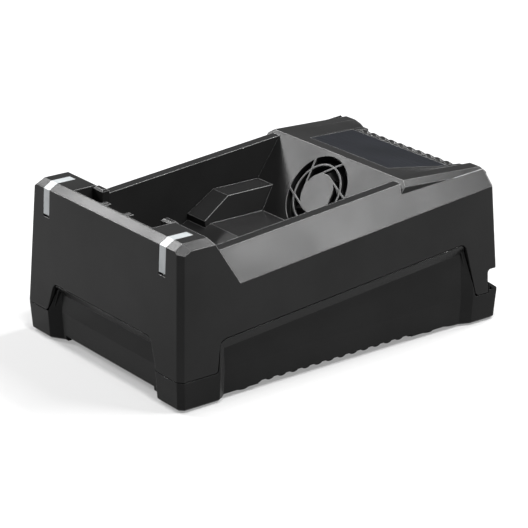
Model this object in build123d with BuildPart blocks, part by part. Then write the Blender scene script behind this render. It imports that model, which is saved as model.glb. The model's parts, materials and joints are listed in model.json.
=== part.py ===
from build123d import *

import os
from math import cos, hypot, radians, sin, sqrt, tan

os.makedirs("parts", exist_ok=True)

# Desk charger for slide-on tool battery packs.
# Inside the helpers x is measured from the middle, y from the front wall at the waist and
# z from the underside of the corner feet. The part's own origin is the middle of the
# rubber feet's ground plane.

# ---------------------------------------------------------------- outside form
WIDTH = 160.0
LENGTH = 240.0
WAIST_Z = 18.3          # widest level, where the shells meet at the corners
CORNER = 3.1            # leg of the cut along each upright corner
DRAFT = 0.054           # lean of the walls above the waist, mm per mm
UNDER_DRAFT = 0.06      # lean of the walls below the waist
WALL = 2.5
BELLY_Z = 2.0           # underside between the corner feet
FAR = 130.0             # beyond the top of everything

# front blocks
TOP_Z = 96.3
EDGE_RUN = 5.5          # slope along the top front and side edges
EDGE_DROP = 3.2
BLOCK_BACK_Y = 27.7     # top of the leaning back face
BLOCK_BACK_Z = 93.6
BLOCK_LEAN = 0.62
FACET_WAY = (14.0, -9.0, 18.6)  # direction that the cut over each top front corner faces

# side rims and the slanted band outside them
RIM_Z = 79.4
RIM_RISE = 0.0885
RIM_OUT = 61.9
BAND_SLOPE = 1.046
TAIL_Y = 233.0          # where rims and bands turn down to the back wall
TAIL_FALL = 1.3

# rear housing
PANEL_TILT = 35.0       # fan panel, degrees from upright
CHEEK_Z = 96.8
HOUSING_Y = 174.7       # top front edge of the housing
CHEEK_FALL = 0.05
CHEEK_HALF = 62.3
CHEEK_DROP = 2.9
HOUSING_HALF = 66.4
HOUSING_SPLAY = 0.025
BACK_TOP_Y = 231.9
BACK_SLOPE = 0.8
TROUGH_HALF = 36.0
TROUGH_SPREAD = 0.2
TROUGH_FALL = 0.11
TROUGH_EDGE = 54.9

# groove under the back edge of the upper shell
GROOVE_TOP = 32.7
GROOVE_DEEP = 10.2
GROOVE_LOW = 25.2       # start of the slope that leads out to the back wall
GROOVE_SLOPE = 0.72
GROOVE_ROUND = 2.4
NICK_LONG = 3.2         # triangular nick in each side, under the groove's slope
NICK_HIGH = 3.0
NICK_DEEP = 1.5

# joint between the shells
JOINT_GAP = 0.6
STEP_Z = 37.1           # raised joint line
STEP_FRONT_Y = 26.0
STEP_BACK_Y = 220.2
STEP_RAMP = 2.8
STEP_BACK_RAMP = 8.6
STEP_RISE = 0.089
FRONT_STEP_Z = 37.05
FRONT_STEP_TOP = 50.2
FRONT_STEP_LOW = 56.8
STEP_ROUND = 5.0
STEP_FOOT_ROUND = 2.0
LIP = 2.5               # tongue of the lower shell behind the upper shell's wall
LIP_THICK = 1.5
LIP_GAP = 0.3

# recesses of the lower shell between the corner feet
SIDE_RECESS = 3.0
FRONT_RECESS = 5.0
FOOT_FRONT_Y = 28.0
FOOT_BACK_Y = 208.0
FOOT_RAMP_FRONT = 5.0
FOOT_RAMP_BACK = 10.0
FOOT_INNER = 46.0
RECESS_INNER = 48.5     # half width of the front recess, full depth
RECESS_FLARE = 7.9
RECESS_BACK_Y = 217.7   # rear end of the side recess, with its ramp
RECESS_RAMP_BACK = 7.2
BORDER = 0.4            # flush strip of the lower shell under the joint line
BORDER_HIGH = 6.0       # height over which the recess then gets its depth
FOOT_EDGE = 1.2         # cut along the feet's bottom edge
BELLY_EDGE = 1.6        # cut along the bottom front edge between the feet

# ---------------------------------------------------------------- battery well
WELL_HALF = 55.1
FRONT_WALL_Y = 10.4
POCKET_Z = 47.0
RAMP_FRONT_Y = 88.0
RAMP_BACK_Y = 106.0
FLOOR_Z = 55.8
PANEL = 4.0             # thickness of the fan panel
BLOCK_INNER = 40.0
BLOCK_DEEP_Y = 28.5
ARM_INNER = 30.0
ARM_Y = 23.5
GUIDE_TOP_HALF = 39.5
GUIDE_FOOT_HALF = 36.9
GUIDE_Z = 70.0
GUIDE_FRONT_Y = 102.0
GUIDE_BACK_Y = 121.5
GUIDE_NOSE_Z = 58.0
TAB_X = 11.5
TAB_WIDE = 5.0
TAB_DEEP = 5.4
TAB_LOW = 66.0
TAB_TOP = 95.5
TAB_SLOT = 1.0

# ---------------------------------------------------------------- fan and grille
GRILLE_R = 24.3
GRILLE_Z = 74.6
GRILLE_THICK = 2.0
GRILLE_HUB_R = 13.0
GRILLE_RING_R = 18.8
GRILLE_BAR = 1.3
GRILLE_BARS = 6
GRILLE_TURN = 67.2
FAN_SIZE = 50.0
FAN_DEEP = 15.0
FAN_BORE_R = 24.0
FAN_HOLE_PITCH = 40.0
FAN_HUB_R = 12.3
FAN_TIP_GAP = 0.6
FAN_BLADES = 7
FAN_PITCH = 38.0
FAN_SCREW_R = 1.3
FAN_BASE = 1.5
FAN_TUBE_R = 3.5
BEARING_R = 2.5
TUBE_START = 4.5        # front end of the bearing tube, from the fan's face
STRUT = 3.0
STATOR_R = 9.4
STATOR_LONG = 6.5
ROTOR_IN = 1.0
ROTOR_LONG = 11.0
CUP_WALL = 1.3
SHAFT_R = 1.0
SHAFT_GRIP = 2.2
BLADE_CHORD = 11.0
BLADE_THICK = 1.0
RUNNING_GAP = 0.05

# ---------------------------------------------------------------- contacts and lamps
CONTACT_HALF = 20.0
CONTACT_Y = 12.5
CONTACT_DEEP = 8.0
CONTACT_DROP = 7.0      # below the pocket floor
CONTACT_FLANGE = 2.0
CONTACT_HIGH = 12.0
BLADE_XS = [-16.0, -8.0, 0.0, 8.0, 16.0]
BLADE_METAL = 0.8
BLADE_DEEP = 5.0
BLADE_TAIL = 2.0
BLADE_LONG = 36.0
LED_DEEP = 1.2
LED_BOARD = 1.2
LED_BOARD_WIDE = 17.0
LED_BOARD_HIGH = 10.0
LED_PIN_X = 6.0
LED_PIN_R = 0.9

# ---------------------------------------------------------------- small outside pieces
PIPE_X = 59.6
PIPE_WIDE = 6.0
PIPE_THICK = 1.2
PIPE_FOOT_Z = 77.3
PIPE_TAIL_Y = 22.0
PLATE_THICK = 0.6
PLATE_FRONT_Y = 184.0
PLATE_BACK_Y = 224.6
PLATE_MARGIN = 0.6
PLATE_GAP = 0.15
PIPE_GAP = 0.12
PIPE_FOOT_GAP = 1.6
STEM_WIDE = 3.2
STEM_HIGH = 4.0
STEM_OUT = 0.8
HUMPS = 10
HUMP_PITCH = 8.75
HUMP_R = 6.0
HUMP_RISE = 0.9
HUMP_GAP = 1.6
HUMP_CUT = 1.4
HUMP_END_Y = 230.2      # crowns of the ribs turn down to the back wall here
BACK_VENT_LOW = 54.0
BACK_VENT_HIGH = 26.0
BACK_VENT_WIDE = 3.4
FOOT_R = 6.5
FOOT_STAND = 1.0
FOOT_PEG_R = 2.4
FOOT_X = 66.0
FOOT_YS = (50.0, 190.0)
VENTS = 13
VENT_PITCH = 8.82
VENT_FIRST_Y = 62.0
VENT_WIDE = 3.4
VENT_INNER = 56.0
VENT_LONG = 14.0
LOBE_R = 5.0            # rounded lobes between the air slots, along the bottom edge
LOBE_BACK = 0.9         # they stand this far behind the side's face
NOTCH_DEEP = 1.6
GLAND_X = -45.0
GLAND_Z = 10.1
GLAND_BORE_R = 3.6
GLAND_NECK_R = 4.6
GLAND_FLANGE_R = 5.4
GLAND_FLANGE = 2.0
GLAND_SEAT = 0.4        # the flange stands this far off the leaning wall

# ---------------------------------------------------------------- fasteners
POST_X = 60.0
POST_YS = (36.0, 214.0)
POST_R = 4.4
POST_Z = 24.0
TUBE_R = 5.6
SCREW_R = 1.9
SCREW_HEAD_R = 3.7
SCREW_HEAD = 2.6
SCREW_SEAT_Z = 16.0
SCREW_LONG = 24.0
SMALL_R = 1.4
SMALL_HEAD_R = 2.6
SMALL_HEAD = 1.8
CLEAR = 0.2

# ---------------------------------------------------------------- main board
BOARD_Z = 10.0
BOARD_THICK = 1.6
BOARD_HALF = 50.0
BOARD_FRONT_Y = 32.0
BOARD_BACK_Y = 206.0
PILLAR_R = 3.6
PILLAR_X = 45.0
PILLAR_YS = (38.0, 119.0, 200.0)
SMALL_LONG = 6.4
BOARD_TOP = BOARD_Z + BOARD_THICK
SINK_PLATE = 3.0
SINK_FIN = 6.0
SINK_PITCH = 6.0
SINK_HIGH = 28.0
SINK_A = (-6.0, 104.0)
SINK_A_LONG = 48.0
SINK_B = (34.0, 92.0)
SINK_B_LONG = 42.0
CASE_DEEP = 4.5
CASE_WIDE = 10.0
CASE_HIGH = 15.0
CASE_LEG = 4.0
CASE_PITCH = 20.0
BULK_X = -30.0
BULK_R = 11.0
BULK_YS = (88.0, 114.0)
BULK_HIGH = 30.0
OUTPUT_XS = (16.0, 28.0, 40.0)
OUTPUT_Y = 58.0
OUTPUT_R = 5.0
OUTPUT_HIGH = 20.0
TRANSFORMER = (20.0, 140.0)
CORE_WIDE = 40.0
CORE_LEG = 12.0
CORE_SIDE = 4.5
CORE_HIGH = 26.0
BOBBIN_FOOT = 1.6
CHOKE = (-2.0, 186.0)
CHOKE_R = 9.0
CHOKE_HOLE_R = 4.5
CHOKE_DEEP = 7.0
CHOKE_WIRE = 1.2
CHOKE_TURNS = 14
BRIDGE = (-30.0, 140.0)
X_CAPACITOR = (-30.0, 160.0)
RELAY = (-26.0, 58.0)
MAINS_TERMINAL = (-34.0, 198.0)
FUSE = (-38.0, 180.0)
FUSE_R = 2.6
FUSE_LONG = 20.0
VARISTOR = (-22.0, 184.0)
VARISTOR_R = 6.0
CONTACT_TERMINAL = (0.0, 40.0)
FAN_TERMINAL = (36.0, 178.0)
LAMP_TERMINAL = (34.0, 40.0)
TERMINAL_HIGH = 9.0
CONTROLLER = (4.0, 74.0)
POWER_R = 1.4
SIGNAL_R = 0.8
LEAD_BEND = 3.0
LAMP_LEAD_Z = 30.0

ORIGIN = (0, -LENGTH / 2, FOOT_STAND)
BASE = Plane(origin=ORIGIN)
SIDE = Plane(origin=ORIGIN, x_dir=(0, 1, 0), z_dir=(1, 0, 0))
FRONT = Plane(origin=ORIGIN, x_dir=(1, 0, 0), z_dir=(0, -1, 0))
SIDES = {"left": -1, "right": 1}
TILT = tan(radians(PANEL_TILT))
UPRIGHT = (Align.CENTER, Align.CENTER, Align.MIN)


def spot(x, y, z):
    """Point of the shell's own measures as a point of the part's frame."""
    return (x, y - LENGTH / 2, z + FOOT_STAND)


def finish(piece, label):
    """Name a finished piece and write it."""
    piece.part.label = label
    export_step(piece.part, "parts/" + label + ".step")


# ---------------------------------------------------------------- solids by outline
def prism(points, plane, near, far):
    """Straight prism on a closed outline, between two distances along the plane's normal."""
    with BuildPart() as piece:
        with BuildSketch(plane.offset(near)):
            with BuildLine():
                Polyline(*points, close=True)
            make_face()
        extrude(amount=far - near)
    return piece.part


def drawn(outline, planes):
    """Flat-sided solid through two outlines, each on its own plane."""
    with BuildPart() as piece:
        for plane, points in zip(planes, outline):
            with BuildSketch(plane):
                with BuildLine():
                    Polyline(*points, close=True)
                make_face()
        loft(ruled=True)
    return piece.part


def drawn_up(outline, low, high):
    """Solid whose plan at a height z is outline(z)."""
    return drawn([outline(low), outline(high)], [BASE.offset(low), BASE.offset(high)])


def drawn_back(outline, near, far):
    """Solid whose cross-section at a depth y is outline(y)."""
    return drawn([outline(near), outline(far)], [FRONT.offset(-near), FRONT.offset(-far)])


def block(x, y, z):
    """Box between a low and a high value each way."""
    with BuildPart() as piece:
        with Locations(spot(x[0], y[0], z[0])):
            Box(x[1] - x[0], y[1] - y[0], z[1] - z[0], align=(Align.MIN, Align.MIN, Align.MIN))
    return piece.part


def mirrored(points):
    """Outline drawn for the right half, closed with its mirror image."""
    return points + [(-x, other) for x, other in reversed(points)]


# ---------------------------------------------------------------- form of the outside
def lean(z):
    """How far a wall stands in from its widest place at a height."""
    if z > WAIST_Z:
        return DRAFT * (z - WAIST_Z)
    return UNDER_DRAFT * (WAIST_Z - z)


def corner_leg(inset):
    return max(CORNER - inset * (2 - sqrt(2)), 0.4)


def plan(z, inset):
    """Upright walls at a height: a rectangle with cut corners."""
    x = WIDTH / 2 - lean(z) - inset
    front = lean(z) + inset
    back = LENGTH - lean(z) - inset
    leg = corner_leg(inset)
    return mirrored([(x - leg, front), (x, front + leg), (x, back - leg), (x - leg, back)])


def recessed_plan(z, inset):
    """Walls of the lower shell: full at the corner feet and set back between them."""
    x = WIDTH / 2 - lean(z) - inset
    front = lean(z) + inset
    back = LENGTH - lean(z) - inset
    leg = corner_leg(inset)
    return mirrored([
        (RECESS_INNER - inset, front + FRONT_RECESS),
        (RECESS_INNER + RECESS_FLARE - inset, front),
        (x - leg, front),
        (x, front + leg),
        (x, FOOT_FRONT_Y),
        (x - SIDE_RECESS, FOOT_FRONT_Y + FOOT_RAMP_FRONT),
        (x - SIDE_RECESS, RECESS_BACK_Y - RECESS_RAMP_BACK),
        (x, RECESS_BACK_Y),
        (x, back - leg),
        (x - leg, back),
    ])


def rim_z(y):
    """Height of the side rims at a depth, turning down at the tail."""
    return RIM_Z + RIM_RISE * y - max(y - TAIL_Y, 0) * TAIL_FALL


def above_rims(y, inset):
    """Cross-section of the space above the rims and the slanted bands."""
    steep = sqrt(1 + BAND_SLOPE ** 2)
    rim_x = RIM_OUT - inset * (steep - 1) / BAND_SLOPE
    low = rim_z(y) - BAND_SLOPE * (WIDTH - RIM_OUT) - inset * steep
    return mirrored([(rim_x, rim_z(y) - inset), (WIDTH, low), (WIDTH, FAR)])


def panel_y(z):
    """Depth of the fan panel's face at a height."""
    return HOUSING_Y - (CHEEK_Z - z) * TILT


def cheek_z(y):
    return CHEEK_Z - CHEEK_FALL * (y - HOUSING_Y)


def trough_z(y):
    return CHEEK_Z - TROUGH_FALL * (y - HOUSING_Y)


def trough_half(y):
    return TROUGH_HALF + TROUGH_SPREAD * (y - HOUSING_Y)


def housing_section(y, inset):
    """Cross-section of the rear housing with its sloped outer edges."""
    splay = HOUSING_SPLAY * (y - HOUSING_Y)
    top = cheek_z(y) - inset
    edge = CHEEK_HALF + splay - inset * 0.5
    side = HOUSING_HALF + splay - inset
    return mirrored([(edge, top), (side, top - CHEEK_DROP), (side, WAIST_Z)])


def trough_section(y, inset):
    """Cross-section of the sunk top between the cheeks."""
    half = trough_half(y)
    return mirrored([
        (half, trough_z(y) - inset),
        (TROUGH_EDGE, cheek_z(y) - inset),
        (TROUGH_EDGE, FAR),
    ])


def housing(inset):
    """Rear housing behind the fan panel, with the sunk top and the sloped back edge."""
    shift = inset / cos(radians(PANEL_TILT))
    back = BACK_TOP_Y - inset
    with BuildPart() as piece:
        add(drawn_back(lambda y: housing_section(y, inset), GUIDE_BACK_Y, LENGTH + 1))
        in_front = [(0, 0), (panel_y(0) + shift, 0), (panel_y(FAR) + shift, FAR), (0, FAR)]
        add(prism(in_front, SIDE, -WIDTH, WIDTH), mode=Mode.SUBTRACT)
        add(drawn_back(lambda y: trough_section(y, inset), HOUSING_Y, LENGTH + 2), mode=Mode.SUBTRACT)
        behind = [
            (back - (FAR - CHEEK_Z) * BACK_SLOPE, FAR),
            (back + CHEEK_Z * BACK_SLOPE, 0),
            (2 * LENGTH, 0),
            (2 * LENGTH, FAR),
        ]
        add(prism(behind, SIDE, -WIDTH, WIDTH), mode=Mode.SUBTRACT)
    return piece.part


def housing_zone(inset):
    """Everything behind the fan panel's face, between the housing's upright sides."""
    shift = inset / cos(radians(PANEL_TILT))

    def zone_section(y):
        side = HOUSING_HALF + HOUSING_SPLAY * (y - HOUSING_Y) - inset
        return mirrored([(side, FAR), (side, GUIDE_Z)])

    in_front = [(0, 0), (panel_y(0) + shift, 0), (panel_y(FAR) + shift, FAR), (0, FAR)]
    with BuildPart() as zone:
        add(drawn_back(zone_section, GUIDE_BACK_Y, LENGTH + 5))
        add(prism(in_front, SIDE, -WIDTH, WIDTH), mode=Mode.SUBTRACT)
    return zone.part


def edge_slope(start, way, inset):
    """Space above the slope that runs along a top edge of the front blocks."""
    shift = inset * hypot(EDGE_RUN, EDGE_DROP) / EDGE_RUN
    low = TOP_Z - EDGE_DROP
    return [
        (start - way * 2 * EDGE_RUN, low - 2 * EDGE_DROP - shift),
        (start + way * 2 * EDGE_RUN, low + 2 * EDGE_DROP - shift),
        (start + way * 2 * EDGE_RUN, FAR),
        (start - way * 2 * EDGE_RUN, FAR),
    ]


def open_sky(inset):
    """All the space above the outside: front blocks, rims and rear housing left standing."""
    lean_in = lean(TOP_Z - EDGE_DROP)
    edge_x = WIDTH / 2 - lean_in
    back = inset * hypot(1, BLOCK_LEAN)
    front_blocks = [
        (-CORNER, 0),
        (BLOCK_BACK_Y + BLOCK_BACK_Z * BLOCK_LEAN - back, 0),
        (BLOCK_BACK_Y - (FAR - BLOCK_BACK_Z) * BLOCK_LEAN - back, FAR),
        (-CORNER, FAR),
    ]
    with BuildPart() as sky:
        add(drawn_back(lambda y: above_rims(y, inset), 0, TAIL_Y))
        add(drawn_back(lambda y: above_rims(y, inset), TAIL_Y, LENGTH + 5))
        add(housing_zone(inset))
        add(prism(front_blocks, SIDE, -WIDTH, WIDTH), mode=Mode.SUBTRACT)
        add(housing(inset), mode=Mode.SUBTRACT)
        add(prism(edge_slope(lean_in, 1, inset), SIDE, -WIDTH, WIDTH))
        for way in SIDES.values():
            add(prism(edge_slope(way * edge_x, -way, inset), FRONT, -GUIDE_FRONT_Y, CORNER))
        add(block((-WIDTH, WIDTH), (-CORNER, GUIDE_FRONT_Y), (TOP_Z - inset, FAR)))
        for way in SIDES.values():
            top_corner = spot(way * (edge_x - EDGE_RUN), lean_in + EDGE_RUN, TOP_Z)
            facet = Plane(origin=top_corner, z_dir=(way * FACET_WAY[0], FACET_WAY[1], FACET_WAY[2]))
            with BuildSketch(facet.offset(-inset)):
                Rectangle(4 * EDGE_RUN, 4 * EDGE_RUN)
            extrude(amount=2 * EDGE_RUN)
    return sky.part


def groove(grow):
    """Groove across the back, under the upper shell's edge."""
    inner = LENGTH - GROOVE_DEEP - grow
    drop = grow * hypot(1, GROOVE_SLOPE)
    points = [
        (2 * LENGTH, GROOVE_TOP + grow),
        (inner, GROOVE_TOP + grow),
        (inner, GROOVE_LOW + grow * GROOVE_SLOPE - drop),
        (LENGTH + 1, GROOVE_LOW - (GROOVE_DEEP + 1) * GROOVE_SLOPE - drop),
        (2 * LENGTH, GROOVE_LOW - (GROOVE_DEEP + 1) * GROOVE_SLOPE - drop),
    ]
    with BuildPart() as space:
        with BuildSketch(SIDE.offset(-WIDTH)):
            with BuildLine():
                Polyline(*points, close=True)
            make_face()
            fillet(vertices().sort_by(Axis.Y)[-2:].sort_by(Axis.X)[0], GROOVE_ROUND)
        extrude(amount=2 * WIDTH)
    return space.part


def upper_form(inset):
    """Solid form of the upper shell's outside, moved in by inset."""
    with BuildPart() as form:
        add(drawn_up(lambda z: plan(z, inset), WAIST_Z, CHEEK_Z + 5))
        add(open_sky(inset), mode=Mode.SUBTRACT)
        add(groove(inset), mode=Mode.SUBTRACT)
    return form.part


def guide(grow):
    """Air guide along one side of the well, behind the battery."""
    section = [
        (GUIDE_FOOT_HALF + grow, FLOOR_Z),
        (GUIDE_TOP_HALF + grow, GUIDE_Z - grow),
        (WELL_HALF + 2 * WALL, GUIDE_Z - grow),
        (WELL_HALF + 2 * WALL, 0),
        (GUIDE_FOOT_HALF + grow, 0),
    ]
    profile = [
        (GUIDE_FRONT_Y + grow, 0),
        (GUIDE_FRONT_Y + grow, GUIDE_NOSE_Z - grow),
        (GUIDE_BACK_Y + grow * 0.3, GUIDE_Z - grow),
        (LENGTH, GUIDE_Z - grow),
        (LENGTH, 0),
    ]
    with BuildPart() as piece:
        add(prism(section, FRONT, -LENGTH, 0))
        add(prism(profile, SIDE, 0, WIDTH), mode=Mode.INTERSECT)
    return piece.part


def well(grow):
    """Space of the battery well, grown by a wall's thickness for the inside of the shell."""
    back = grow * PANEL / WALL / cos(radians(PANEL_TILT))
    profile = [
        (FRONT_WALL_Y - grow, FAR),
        (FRONT_WALL_Y - grow, POCKET_Z - grow),
        (RAMP_FRONT_Y + grow * 0.2, POCKET_Z - grow),
        (RAMP_BACK_Y + grow * 0.2, FLOOR_Z - grow),
        (panel_y(FLOOR_Z - grow) + back, FLOOR_Z - grow),
        (panel_y(FAR) + back, FAR),
    ]
    half = WELL_HALF + grow
    inner = BLOCK_INNER + grow
    side_guide = guide(grow)
    with BuildPart() as tub:
        add(prism(profile, SIDE, -half, half))
        add(side_guide, mode=Mode.SUBTRACT)
        add(side_guide.mirror(Plane.YZ), mode=Mode.SUBTRACT)
        for way in SIDES.values():
            with Locations(spot(way * (inner + WIDTH / 2), BLOCK_DEEP_Y - grow, 0)):
                Box(WIDTH, LENGTH, FAR, align=(Align.CENTER, Align.MAX, Align.MIN), mode=Mode.SUBTRACT)
    return tub.part


def rail_arms():
    """Short arms behind which a battery's rails slide down."""
    arm_x = (ARM_INNER + BLOCK_INNER) / 2
    arm_y = (ARM_Y + BLOCK_DEEP_Y) / 2
    with BuildPart() as arms:
        with Locations(*[spot(way * arm_x, arm_y, POCKET_Z - WALL) for way in SIDES.values()]):
            Box(BLOCK_INNER - ARM_INNER + 0.2, BLOCK_DEEP_Y - ARM_Y, TOP_Z - POCKET_Z + WALL, align=UPRIGHT)
        chamfer(arms.edges().group_by(Axis.Z)[-1], 1.2)
    return arms.part


def split_zone(shift):
    """Everything below the joint line, grown by shift: stepped along the sides and the front."""
    low = WAIST_Z + shift
    run = STEP_BACK_Y - STEP_BACK_RAMP - STEP_FRONT_Y - STEP_RAMP
    side_line = [
        (-CORNER, -FAR),
        (-CORNER, low),
        (STEP_FRONT_Y - shift, low),
        (STEP_FRONT_Y + STEP_RAMP - shift, STEP_Z + shift),
        (STEP_BACK_Y - STEP_BACK_RAMP + shift, STEP_Z + STEP_RISE * run + shift),
        (STEP_BACK_Y + shift, low),
        (LENGTH - GROOVE_DEEP - shift, low),
        (LENGTH - GROOVE_DEEP - shift, GROOVE_LOW + shift),
        (2 * LENGTH, GROOVE_LOW + shift),
        (2 * LENGTH, -FAR),
    ]
    front_line = mirrored([
        (FRONT_STEP_TOP + shift, FRONT_STEP_Z + shift),
        (FRONT_STEP_LOW + shift, low),
        (WIDTH, low),
        (WIDTH, -FAR),
    ])
    with BuildPart() as zone:
        with BuildSketch(SIDE.offset(-WIDTH)):
            with BuildLine():
                Polyline(*side_line, close=True)
            make_face()
            fillet([v for v in vertices() if v.Y > STEP_Z - 2 * LIP], STEP_ROUND)
            fillet([v for v in vertices() if abs(v.Y - low) < 0.1 and 0 < v.X < STEP_BACK_Y + LIP + 1],
                   STEP_FOOT_ROUND)
        extrude(amount=2 * WIDTH)
        with BuildSketch(FRONT.offset(-STEP_FRONT_Y - STEP_RAMP)):
            with BuildLine():
                Polyline(*front_line, close=True)
            make_face()
            fillet([v for v in vertices() if v.Y > low + 1], STEP_ROUND)
            fillet([v for v in vertices() if abs(v.Y - low) < 0.1 and abs(v.X) < WIDTH - 1], STEP_FOOT_ROUND)
        extrude(amount=STEP_FRONT_Y + STEP_RAMP + CORNER)
    return zone.part


# ---------------------------------------------------------------- planes of the fan
TILT_OUT = (0, -cos(radians(PANEL_TILT)), sin(radians(PANEL_TILT)))
PANEL_FACE = Plane(origin=spot(0, panel_y(GRILLE_Z), GRILLE_Z), x_dir=(1, 0, 0), z_dir=TILT_OUT)
FAN_FACE = PANEL_FACE.offset(-PANEL)

FORM = upper_form(0)
WELL = well(0)
HOLLOW = upper_form(WALL) - well(WALL)


def grille_openings():
    """Air gaps between the hub disc, the ring and the bars that run off the hub's rim."""
    reach = sqrt(GRILLE_R ** 2 - GRILLE_HUB_R ** 2) + GRILLE_BAR
    with BuildSketch() as gaps:
        Circle(GRILLE_R)
        Circle(GRILLE_RING_R + GRILLE_BAR / 2, mode=Mode.SUBTRACT)
        Circle(GRILLE_RING_R - GRILLE_BAR / 2)
        Circle(GRILLE_HUB_R, mode=Mode.SUBTRACT)
        for number in range(GRILLE_BARS):
            turn = GRILLE_TURN + number * 360 / GRILLE_BARS
            middle = Vector(GRILLE_HUB_R - GRILLE_BAR / 2, -reach / 2).rotate(Axis.Z, turn)
            with Locations(Location((middle.X, middle.Y, 0), (0, 0, turn))):
                Rectangle(GRILLE_BAR, reach, mode=Mode.SUBTRACT)
    return gaps.sketch


def pipe_path(inset):
    """Front and top face lines along which a light pipe lies, moved in by inset."""
    low = TOP_Z - EDGE_DROP
    start = lean(low) + inset * 0.9
    foot = lean(PIPE_FOOT_Z) + inset
    slope = inset * 0.55
    return [
        (foot, PIPE_FOOT_Z),
        (start, low - slope),
        (lean(low) + EDGE_RUN + inset * 0.3, TOP_Z - inset),
        (PIPE_TAIL_Y, TOP_Z - inset),
    ]


def pipe_solid(depth, spread, foot_drop):
    """L-shaped strip from the front face over the slope onto the top."""
    outer = [(y, z) for y, z in pipe_path(0)]
    inner = [(y, z) for y, z in pipe_path(depth)]
    outer[0] = (lean(PIPE_FOOT_Z - foot_drop), PIPE_FOOT_Z - foot_drop)
    inner[0] = (lean(PIPE_FOOT_Z - foot_drop) + depth, PIPE_FOOT_Z - foot_drop)
    outer[-1] = (PIPE_TAIL_Y + spread, outer[-1][1])
    inner[-1] = (PIPE_TAIL_Y + spread, inner[-1][1])
    return prism(outer + inner[::-1], SIDE, -PIPE_WIDE / 2 - spread, PIPE_WIDE / 2 + spread)


# ---------------------------------------------------------------- pieces let into the shell
HUMP_HALF = HUMPS * HUMP_PITCH / 2
HUMP_XS = [(number - (HUMPS - 1) / 2) * HUMP_PITCH for number in range(HUMPS)]


def along_trough(half, near, far, above, below):
    """Slab that follows the sunk top, half(y) wide each way, between two heights off it."""
    def slab(y):
        return mirrored([(half(y), trough_z(y) + above), (half(y), trough_z(y) + below)])
    return drawn_back(slab, near, far)


def plate(gap):
    """Bare plate on the sunk top, grown by a gap for its pocket."""
    return along_trough(lambda y: trough_half(y) - PLATE_MARGIN + gap,
                        PLATE_FRONT_Y - gap, PLATE_BACK_Y + gap, gap, -PLATE_THICK - gap / 2)


def rib_edge(half, shift):
    """Space behind the slope that ends the rib row, the slope moved in by shift."""
    reach = HUMP_END_Y + trough_z(HUMP_END_Y) + HUMP_RISE - shift * sqrt(2)
    points = [(reach - FAR, FAR), (reach - GUIDE_Z, GUIDE_Z), (2 * LENGTH, GUIDE_Z), (2 * LENGTH, FAR)]
    return prism(points, SIDE, -half, half)


def rib_row(start_y, start_z, fall, long):
    """Row of round bars, their crowns starting at a place and falling by fall per mm of depth."""
    with BuildPart() as row:
        with BuildSketch(Plane(origin=spot(0, start_y, start_z), x_dir=(1, 0, 0), z_dir=(0, -1, fall))):
            with Locations(*[(rib_x, -HUMP_R) for rib_x in HUMP_XS]):
                Circle(HUMP_R)
        extrude(amount=-long)
    return row.part


def hump_ribs():
    """Rounded ribs side by side behind the plate, running over the edge onto the back wall."""
    first = PLATE_BACK_Y + HUMP_GAP
    end_z = trough_z(HUMP_END_Y) + HUMP_RISE
    with BuildPart() as band:
        add(along_trough(lambda y: HUMP_HALF, first, LENGTH, HUMP_R, -WALL))
        add(rib_edge(HUMP_HALF, HUMP_RISE + WALL))
        add(rib_edge(WIDTH, 0), mode=Mode.SUBTRACT)
        add(drawn_up(lambda z: plan(z, 0), WAIST_Z, CHEEK_Z + 5), mode=Mode.INTERSECT)
    with BuildPart() as ribs:
        add(rib_row(first, trough_z(first) + HUMP_RISE, TROUGH_FALL, LENGTH - first))
        add(rib_row(HUMP_END_Y, end_z, 1, 2 * (LENGTH - HUMP_END_Y)))
        add(band.part, mode=Mode.INTERSECT)
    return ribs.part


def contact_slot(gap):
    """Opening in the pocket floor that the contact block stands in."""
    return block((-CONTACT_HALF - gap, CONTACT_HALF + gap),
                 (CONTACT_Y - gap, CONTACT_Y + CONTACT_DEEP + gap),
                 (POCKET_Z - CONTACT_DROP, POCKET_Z + gap))


def pin_in_wall(x, z, radius, start, end):
    """Round pin or hole along y."""
    with BuildPart() as pin:
        with BuildSketch(FRONT.offset(-end)):
            with Locations((x, z)):
                Circle(radius)
        extrude(amount=end - start)
    return pin.part


LED_Z = (PIPE_FOOT_Z + TOP_Z) / 2
WALL_BACK = lean(LED_Z) + WALL
STEM_END = WALL_BACK + STEM_OUT
LED_BOARD_Y = STEM_END + CLEAR / 2 + LED_DEEP
VENT_XS = [(number - (HUMPS - 2) / 2) * HUMP_PITCH for number in range(HUMPS - 1)]
POSTS = [(way * POST_X, post_y) for post_y in POST_YS for way in SIDES.values()]
FAN_HOLES = [(x * FAN_HOLE_PITCH / 2, y * FAN_HOLE_PITCH / 2) for x in (-1, 1) for y in (-1, 1)]

# ---------------------------------------------------------------- upper shell
with BuildPart() as posts:
    with Locations(*[spot(post_x, post_y, POST_Z) for post_x, post_y in POSTS]):
        Cylinder(POST_R, FAR, align=UPRIGHT)
    add(FORM, mode=Mode.INTERSECT)

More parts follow.
